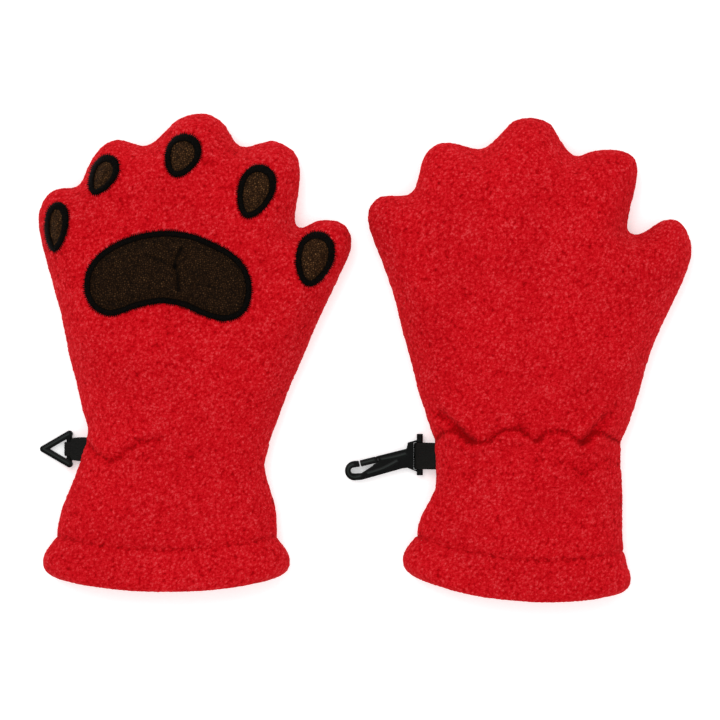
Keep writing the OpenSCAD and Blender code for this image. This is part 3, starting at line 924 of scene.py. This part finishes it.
def raise_nap(obj, shade):
    """Presses the gaps between the fleece's tufts in, and keeps their height for the colour.

    The stored height paints highlight on the tips and shade in the gaps. Painted shade is
    taken off it in folds and along stitching, where shade is above 0.
    """
    p = points_of(obj)
    n = normals_of(obj)
    bent = p + 0.35*np.stack([waves(p, 1.3, 31), waves(p, 1.3, 32), waves(p, 1.3, 33)], axis=1)
    tuft = 1 - np.clip(grains(bent, TUFT, 41), 0, 1)
    small = 0.5 + 0.5*waves(p, 0.6, 43)
    patch = 0.5 + 0.5*waves(p, 4.5, 44)
    height = np.clip(0.66*tuft + 0.34*small, 0, 1)*(0.9 + 0.2*patch)
    store(obj, "tuft_shading", np.clip((height - 0.10)/0.72 - shade, 0, 1))
    move_points(obj, p + n*((height - 0.5)*NAP_DEPTH)[:, None])


def surface_of(obj, above):
    """Answers how high a mesh lies at points in plan, met from above or from below.

    Points that miss it get the mean height of the rest.
    """
    tree = BVHTree.FromObject(obj, bpy.context.evaluated_depsgraph_get())
    start, way = (0.08, -1) if above else (-0.05, 1)

    def heights(p):
        hits = [tree.ray_cast(Vector((x*MM, y*MM, start)), Vector((0, 0, way)))[0] for x, y in p]
        known = [hit.z/MM for hit in hits if hit is not None]
        middle = sum(known)/len(known) if known else 0
        return np.array([middle if hit is None else hit.z/MM for hit in hits])
    return heights


def build_body(m, fleece):
    """The two fleece panels of a mitten. Returns how high the palm's smooth surface lies."""
    obj = body_solid(m)
    middles = face_middles(obj)
    keep_faces(obj, middles[:, 1] > m.cuff(middles[:, 0]) - TUCK + 1.3)
    subdivide(obj, 2)
    p = points_of(obj)
    n = normals_of(obj)
    over = ease(-1.0, 3.0, p[:, 2] - m.seam_z)
    under = 1 - over
    # The gathers are on the back, and half as deep where it lies against the table.
    back_share = over if UP[m.side] == "back" else under*0.5
    dip, shade = stitch_dip(m, p)
    press = soft_hollows(p)*over + dip*(0.3 + 0.7*over)
    folds = [(gathers(m, p), back_share)]
    if UP[m.side] == "palm":
        folds.append((wrist_crease(m, p), over))
    # dark is the shade painted along each fold.
    for (fold, dark), share in folds:
        press += fold*share
        shade = shade + dark*share
    groove = 0.45*np.exp(-((p[:, 2] - m.seam_z)/0.7)**2)
    press += groove*(distance_to(p[:, :2], m.below) < 3)
    move_points(obj, p - n*press[:, None])
    keep_above(obj, m.under)
    heights = surface_of(obj, UP[m.side] == "palm")
    raise_nap(obj, shade)
    keep_above(obj, FLOOR_GAP)
    middles = face_middles(obj)
    above = middles[:, 2] > m.seam_z
    obj.data.materials.append(fleece)
    twin = obj.copy()
    twin.data = obj.data.copy()
    link(twin)
    for part, chosen, name in ((obj, above, UP[m.side]), (twin, ~above, DOWN[m.side])):
        keep_faces(part, chosen)
        part.name = f"{m.side}_{name}_fleece"
        finish_piece(part, f"{m.side}_mitten", "fleece", f"{m.side}_{name}_panel")
    return heights


# Hem in profile: depth below the stitching, then how far it lies inside the outermost wall.
HEM_PROFILE = ((-2.4, 2.6), (-0.7, 1.5), (0.0, 0.95), (0.8, 0.45), (2.2, 0.2), (5.0, 0.05),
               (9.5, 0.0), (13.0, 0.25), (14.9, 0.9), (15.6, 2.1), (15.0, 3.4), (11.5, 4.2),
               (5.0, 4.4), (-1.5, 4.4))
# Hem in plan: depth below the stitching, then how far its side lies inside the widest place.
HEM_SIDES = ((-3, 5.2), (0, 4.7), (2, 3.8), (4, 2.6), (6, 1.4), (8, 0.5), (10, 0.0), (12.5, 0.0),
             (14, 0.6), (15, 1.8), (15.6, 3.4))
# How much narrower each hem lies at its lower and higher x end than its widest place.
HEM_TRIM = {"right": (0.0, 0.0), "left": (0.3, 2.3)}


def build_hem(m, fleece):
    """The turned-up hem: one tube of fleece with a rolled lower edge."""
    profile = smooth_through(HEM_PROFILE, 0.45)
    sides = np.array(HEM_SIDES, float)
    rise = (m.top - m.seam_z)*0.72
    drop = m.seam_z - m.hem_under
    u = np.linspace(0, 2*math.pi, 2001)[:-1]
    count = 440
    low_trim, high_trim = HEM_TRIM[m.side]
    rows = []
    for depth, inset in profile:
        half = m.hem_half - np.interp(depth, sides[:, 0], sides[:, 1])
        x = half*np.cos(u)
        d = half - np.abs(x)
        z = np.where(np.sin(u) >= 0, rise*rounded(d, 22.0), -drop*rounded(d, 9.0))
        ring = np.stack([x, z], axis=1)
        ring = evenly(come_round(ring), 1.0, closed=True)
        run = np.linspace(0, len(ring), count + 1)[:-1]
        ring = np.stack([np.interp(run, np.arange(len(ring) + 1), np.append(ring[:, k], ring[0, k]))
                         for k in range(2)], axis=1)
        ring = offset_loop(ring, inset)
        trim = np.where(ring[:, 0] < 0, low_trim, high_trim)*ease(0.0, 7.0, depth)
        ring[:, 0] *= 1 - trim/m.hem_half
        y = m.cuff(np.clip(ring[:, 0], -half, half) + m.cuff_middle) - depth
        rows.append(np.column_stack([ring[:, 0] + m.cuff_middle, y, ring[:, 1] + m.seam_z]))
    last = len(rows) - 1
    faces = [(k*count + i, (k + 1)*count + i, (k + 1)*count + (i + 1) % count,
              k*count + (i + 1) % count) for k in range(last) for i in range(count)]
    obj = new_object(f"{m.side}_hem_fleece", np.vstack(rows), faces, fleece)
    face_outwards(obj)
    p = points_of(obj)
    n = normals_of(obj)
    # Painted shade along the stitching, on the hem's upper side only.
    shade = stitch_dip(m, p)[1]*(p[:, 2] > m.seam_z)
    move_points(obj, p - n*(0.35*waves(p, 18.0, 21) + 0.15*waves(p, 7.0, 22))[:, None])
    raise_nap(obj, shade)
    keep_above(obj, FLOOR_GAP)
    finish_piece(obj, f"{m.side}_mitten", "fleece", f"{m.side}_cuff_hem")


# ------------------------------ pads and their borders

STITCH_PITCH = 0.36     # distance between neighbouring threads of a border
BORDER_OUT = 0.12       # how far the short threads reach outside the pad's edge
BORDER_IN = 1.95        # how far they reach over the pad
THREAD_R = 0.22         # thread's radius
PAD_EDGE_LIFT = 0.36    # height of the pad over the fleece under its border
PAD_CROWN = 0.70        # how much higher its middle stands
PAD_CLEARANCE = 0.3     # how far a pad on the underside stays above the table
THREAD_CLEARANCE = 0.28     # and the middles of its border's threads


# Creases in the palm pad: places as shares of its width and height, then depth.
PALM_CREASES = (
    ((0.58, 0.80), (0.545, 0.66), (0.56, 0.50), (0.565, 0.34), 0.55),
    ((0.38, 0.72), (0.46, 0.67), (0.54, 0.60), 0.35),
    ((0.13, 0.22), (0.18, 0.19), (0.24, 0.21), 0.20),
)


def palm_creases(p, low, high):
    """How far the shallow Y of creases presses each point in."""
    total = np.zeros(len(p))
    for *route, depth in PALM_CREASES:
        line = [low + (high - low)*np.array(q) for q in route]
        total += crease(p, smooth_through(line, 0.5), depth, 0.9)
    return total


def build_pad(side, key, heights, above, leather):
    """A crowned leather patch with grain pressed into it, held flat under its border."""
    node = f"{side}_{key}_pad"
    loop = smooth_through(patch_loop(node), 0.6, closed=True)
    plan, triangles, _ = fill_loop(loop, 0.6, (0.4,))
    edge = distance_to(plan, come_round(loop))
    lift = PAD_EDGE_LIFT + PAD_CROWN*ease(BORDER_IN - 0.6, BORDER_IN + 3.6, edge)
    flat = np.column_stack([plan, np.zeros(len(plan))])
    lift += 0.12*waves(flat, 6.0, 51)
    sign = 1 if above else -1
    z = heights(plan) + sign*lift
    if not above:
        z = np.maximum(z, PAD_CLEARANCE)
        triangles = [t[::-1] for t in triangles]
    obj = new_object(f"{side}_{key}_leather", np.column_stack([plan, z]), triangles, leather)
    relax(obj, 2)
    subdivide(obj, 1)
    p = points_of(obj)
    n = normals_of(obj)
    fold = palm_creases(p, loop.min(0), loop.max(0)) if key == "palm" else np.zeros(len(p))
    grain = np.clip(grains(p, 0.8, 61), 0, 1)
    move_points(obj, p - n*(fold + 0.09*grain + 0.05*waves(p, 0.5, 62))[:, None])
    middle = ease(0.5, 6.0, distance_to(p[:, :2], come_round(loop)))
    # Painted shade in the creases, and darker towards the pad's edge.
    store(obj, "fold", np.clip(1.6*np.maximum(fold, 0) + 0.25*(1 - middle), 0, 1))
    finish_piece(obj, f"{side}_mitten", "pad", node)


def build_border(side, key, heights, above, thread, rng):
    """Satin stitching: a row of threads that arch over the pad's edge."""
    node = f"{side}_{key}_pad"
    loop = smooth_through(patch_loop(node), STITCH_PITCH, closed=True)
    along, inward = directions(loop)
    n = len(loop)
    # Most threads of each second place are long, which frays the border's outer edge.
    long_one = (np.arange(n) % 2 == 0)*(rng.random(n) < 0.85)
    reach_out = BORDER_OUT + 0.12*rng.random(n) + long_one*(0.38 + 0.42*rng.random(n))
    reach_in = BORDER_IN + 0.2*rng.random(n)
    # A toe's border is wider towards its upper right.
    if key != "palm":
        reach_in += 0.8*np.clip(-(inward @ np.array([0.5, 0.87])), 0, 1)
    slant = 0.22*(rng.random(n) - 0.5) + 0.12
    steps, around = 8, 6
    t = np.linspace(0, 1, steps)
    rise = np.interp(t, (0, 0.2, 0.5, 0.8, 1), (0.0, 0.62, 1.0, 0.9, 0.42))
    span = -reach_out[:, None] + t*(reach_out + reach_in)[:, None]
    lean = slant[:, None]*(t - 0.5)
    centre = loop[:, None] + inward[:, None]*span[..., None] + along[:, None]*lean[..., None]
    flat = centre.reshape(-1, 2)
    base = heights(flat).reshape(n, steps)
    sign = 1 if above else -1
    height = base + sign*(0.22 + (0.62 + 0.12*rng.random(n))[:, None]*rise)
    if not above:
        height = np.maximum(height, THREAD_CLEARANCE)
    thin = THREAD_R*np.interp(t, (0, 0.12, 0.3, 0.85, 1), (0.35, 0.62, 1.0, 1.0, 0.55))
    angle = 2*math.pi*np.arange(around)/around
    side_way = along[:, None, None]*(np.cos(angle)[None, None, :, None]*thin[None, :, None, None])
    xy = centre[:, :, None] + side_way
    z = height[:, :, None] + np.sin(angle)[None, None, :]*thin[None, :, None]
    points = np.concatenate([xy, z[..., None]], axis=-1).reshape(-1, 3)
    faces = []
    for i in range(n):
        first = i*steps*around
        for s in range(steps - 1):
            for a in range(around):
                b = (a + 1) % around
                q = first + s*around
                faces.append((q + a, q + b, q + around + b, q + around + a))
        faces.append(tuple(first + a for a in reversed(range(around))))
        faces.append(tuple(first + (steps - 1)*around + a for a in range(around)))
    obj = new_object(f"{side}_{key}_stitching", points, faces, thread)
    border = f"{side}_palm_pad_border" if key == "palm" else f"{side}_{key}_border"
    finish_piece(obj, f"{side}_mitten", "thread", border)


# ------------------------------ webbing

WEB_T = 0.8             # thickness of the webbing
WEB_GAP = 0.04          # clearance round the bar
SEAM_GAP = 0.7          # from the CAD webbing's end to the side seam
SEWN_IN = 3.0           # how far the visual webbing runs on into the seam
WEB_STEP = 0.2          # distance between rows of points along the webbing
RING_BAR_R = 1.1        # radius of the ring's bar inside its loop
HOOK_BAR_R = 1.2        # radius of the hook's cross bar
# Distance from the bar towards the seam, and the strap's width there. The ring's corners pinch
# its strap where it goes round the bar.
RING_STRAP_WIDTHS = ((1.15, 5.3), (2.0, 8.3), (5.0, 9.0))
HOOK_STRAP_WIDTHS = ((0.0, 10.0), (5.0, 10.0))


def build_webbing(name, node, pin_r, slack, widths, seam_z, material):
    """A woven strap that leaves the side seam, wraps round a bar and goes back into the seam.

    slack is how loosely it lies round the bar. widths lists pairs: distance from the bar
    towards the seam, and the strap's width there.
    """
    low, high = box_mm(node)
    radius = pin_r + WEB_GAP + WEB_T/2
    bar = np.array([low.x + radius + WEB_T/2, low.z + radius + WEB_T/2])
    radius += slack
    middle = (low.y + high.y)/2
    foot = np.array([high.x + SEAM_GAP, seam_z])
    end = foot + (SEWN_IN, 0)
    out = (foot - bar)/np.linalg.norm(foot - bar)
    across = np.array([-out[1], out[0]])
    turn = np.linspace(math.pi/2, 3*math.pi/2, 9)
    wrap = [bar + radius*(math.cos(a)*out + math.sin(a)*across) for a in turn]
    half_gap = WEB_T/2 + 0.02
    half_way = (bar + foot)/2
    legs = [[end + (0, sign*half_gap), foot + sign*half_gap*across,
             half_way + sign*(radius + half_gap)/2*across] for sign in (1, -1)]
    path = smooth_through(legs[0] + wrap + legs[1][::-1], WEB_STEP)
    along = np.gradient(path, axis=0)
    along /= np.linalg.norm(along, axis=1)[:, None]
    normal = np.stack([along[:, 1], -along[:, 0]], axis=1)
    run = np.arange(len(path))*WEB_STEP
    width = np.interp((path - bar) @ out, *zip(*widths))
    steps = 48
    v = np.linspace(-0.5, 0.5, steps)
    place = v[None, :]*width[:, None]
    rib = np.abs(np.sin(math.pi*place/0.9))
    pick = np.sin(2*math.pi*run[:, None]/0.75 + math.pi*np.floor(place/0.9))
    relief = 0.08*rib + 0.04*pick - 0.04
    rounding = np.sqrt(np.clip(1 - (2*np.abs(v))**12, 0.02, 1))[None, :]
    sheets = []
    for sign in (1, -1):
        thick = sign*(WEB_T/2*rounding + relief*rounding)
        xz = path[:, None] + normal[:, None]*thick[..., None]
        sheets.append(np.stack([xz[..., 0], middle + place, xz[..., 1]], axis=-1))
    count = len(path)*steps
    at = lambda sheet, i, j: sheet*count + i*steps + j
    last_i, last_j = len(path) - 1, steps - 1
    faces = []
    for i in range(last_i):
        for j in range(last_j):
            faces.append((at(0, i, j), at(0, i + 1, j), at(0, i + 1, j + 1), at(0, i, j + 1)))
            faces.append((at(1, i, j), at(1, i, j + 1), at(1, i + 1, j + 1), at(1, i + 1, j)))
        for j in (0, last_j):
            faces.append((at(0, i, j), at(0, i + 1, j), at(1, i + 1, j), at(1, i, j)))
    for j in range(last_j):
        for i in (0, last_i):
            faces.append((at(0, i, j), at(0, i, j + 1), at(1, i, j + 1), at(1, i, j)))
    obj = new_object(name, np.vstack([sheet.reshape(-1, 3) for sheet in sheets]), faces, material)
    face_outwards(obj)
    keep_above(obj, FLOOR_GAP)
    smooth_shading(obj)
    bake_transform(obj)
    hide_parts(node)


# ------------------------------ hook, gate and ring

# Raised ribs on the hook, in millimetres from the middle of its cross bar: along the shank
# under the gate, along the shank's lower side, and round the bend.
HOOK_RIBS = (
    ((-14.4, -1.7), (-9.5, -0.8), (-5.4, 0.3)),
    ((-19.5, -7.0), (-14.0, -5.2), (-8.6, -2.4)),
    ((-22.3, -8.0), (-24.3, -8.5), (-26.2, -7.9), (-27.1, -6.3), (-26.6, -4.6), (-25.0, -3.7)),
)
GATE_RIBS = (((-22.2, -3.3), (-19.8, -2.7), (-17.2, -2.0)),)
RIB_HIGH = 0.22
RIB_WIDE = 0.42


def build_moulded(name, node, origin, ribs, body, material):
    """A moulded plastic piece: the CAD solid with its edges rounded, and ribs raised on it, with
    painted highlight stored along their tops.
    """
    obj = cad_copy(name, node)
    remesh(obj, 0.17)
    relax(obj, 30)
    p = points_of(obj)
    n = normals_of(obj)
    rib_and_highlight = np.zeros(len(p))
    for route in ribs:
        line = smooth_through([np.add(origin, q) for q in route], 0.4)
        d = distance_to(p[:, :2], line)
        rib_and_highlight = np.maximum(rib_and_highlight, np.exp(-(d/RIB_WIDE)**2))
    rib_and_highlight *= np.clip(n[:, 2], 0, 1)
    p[:, 2] += RIB_HIGH*rib_and_highlight
    move_points(obj, p)
    keep_above(obj, FLOOR_GAP)
    # The upward-facing rib tops keep a painted highlight for the colour.
    store(obj, "rib_and_highlight", rib_and_highlight**3)
    obj.data.materials.append(material)
    finish_piece(obj, body, "plastic", node)


def hook_origin():
    """The middle of the hook's cross bar in plan."""
    low, high = box_mm("hook_webbing")
    return np.array([low.x + HOOK_BAR_R + WEB_GAP + WEB_T, (low.y + high.y)/2 + 0.5])


def ring_ribs():
    """One rib along the middle of each bar of the ring, from its tip and its two corners."""
    low, high = box_mm("triangle_ring")
    tip = (low.x + 1.25, (low.y + high.y)/2)
    return [(tip, (high.x - 1.6, y)) for y in (low.y + 1.4, high.y - 1.4)]


# ------------------------------ linings and elastic

def build_lining(side, panel, material):
    """A lining panel: the CAD solid with its facets smoothed out of it."""
    node = f"{side}_{panel}_lining"
    obj = cad_copy(f"{side}_{panel}_lining_cloth", node)
    remesh(obj, 1.0)
    relax(obj, 12)
    obj.data.materials.append(material)
    finish_piece(obj, f"{side}_mitten", "lining", node)


def build_elastic(side, material):
    """The knitted elastic inside the back: ribs along it, and the ripple of its gathers."""
    node = f"{side}_wrist_elastic"
    obj = cad_copy(f"{side}_elastic_knit", node)
    remesh(obj, 0.2)
    relax(obj, 6)
    p = points_of(obj)
    n = normals_of(obj)
    rib = np.abs(np.sin(math.pi*p[:, 1]/1.1))
    ripple = np.cos(2*math.pi*p[:, 0]/2.6)
    inward = 0.10*(1 - rib) + 0.04*(1 - ripple)
    move_points(obj, p - n*inward[:, None])
    obj.data.materials.append(material)
    finish_piece(obj, f"{side}_mitten", "elastic", node)


# ------------------------------ making everything

look_straight_down()
studio()
FLEECE = fleece_material()
LINING = lining_material()
PALM_LEATHER = leather_material("brown_leather", 1.3)
TOE_LEATHER = leather_material("lighter_brown_leather", 3.0)
THREAD = thread_material()
WEBBING = webbing_material()
PLASTIC = plastic_material()
ELASTIC = elastic_material()
rng = np.random.default_rng(5)

for side in ("right", "left"):
    mitten = Mitten(side)
    seam_z = mitten.seam_z
    heights = build_body(mitten, FLEECE)
    build_hem(mitten, FLEECE)
    above = UP[side] == "palm"
    for key in ("palm", *(f"{finger}_toe" for finger in FINGERS)):
        leather = PALM_LEATHER if key == "palm" else TOE_LEATHER
        build_pad(side, key, heights, above, leather)
        build_border(side, key, heights, above, THREAD, rng)
    for panel in ("palm", "back"):
        build_lining(side, panel, LINING)
    build_elastic(side, ELASTIC)

hook = hook_origin()
build_moulded("snap_hook_moulding", "snap_hook", hook, HOOK_RIBS, "hook", PLASTIC)
build_moulded("hook_gate_moulding", "hook_gate", hook, GATE_RIBS, "gate", PLASTIC)
build_moulded("triangle_ring_moulding", "triangle_ring", (0, 0), ring_ribs(), "ring", PLASTIC)
build_webbing("ring_strap", "ring_webbing", RING_BAR_R, 0.0, RING_STRAP_WIDTHS,
              seam_z, WEBBING)
build_webbing("hook_strap", "hook_webbing", HOOK_BAR_R, 0.20, HOOK_STRAP_WIDTHS,
              seam_z, WEBBING)
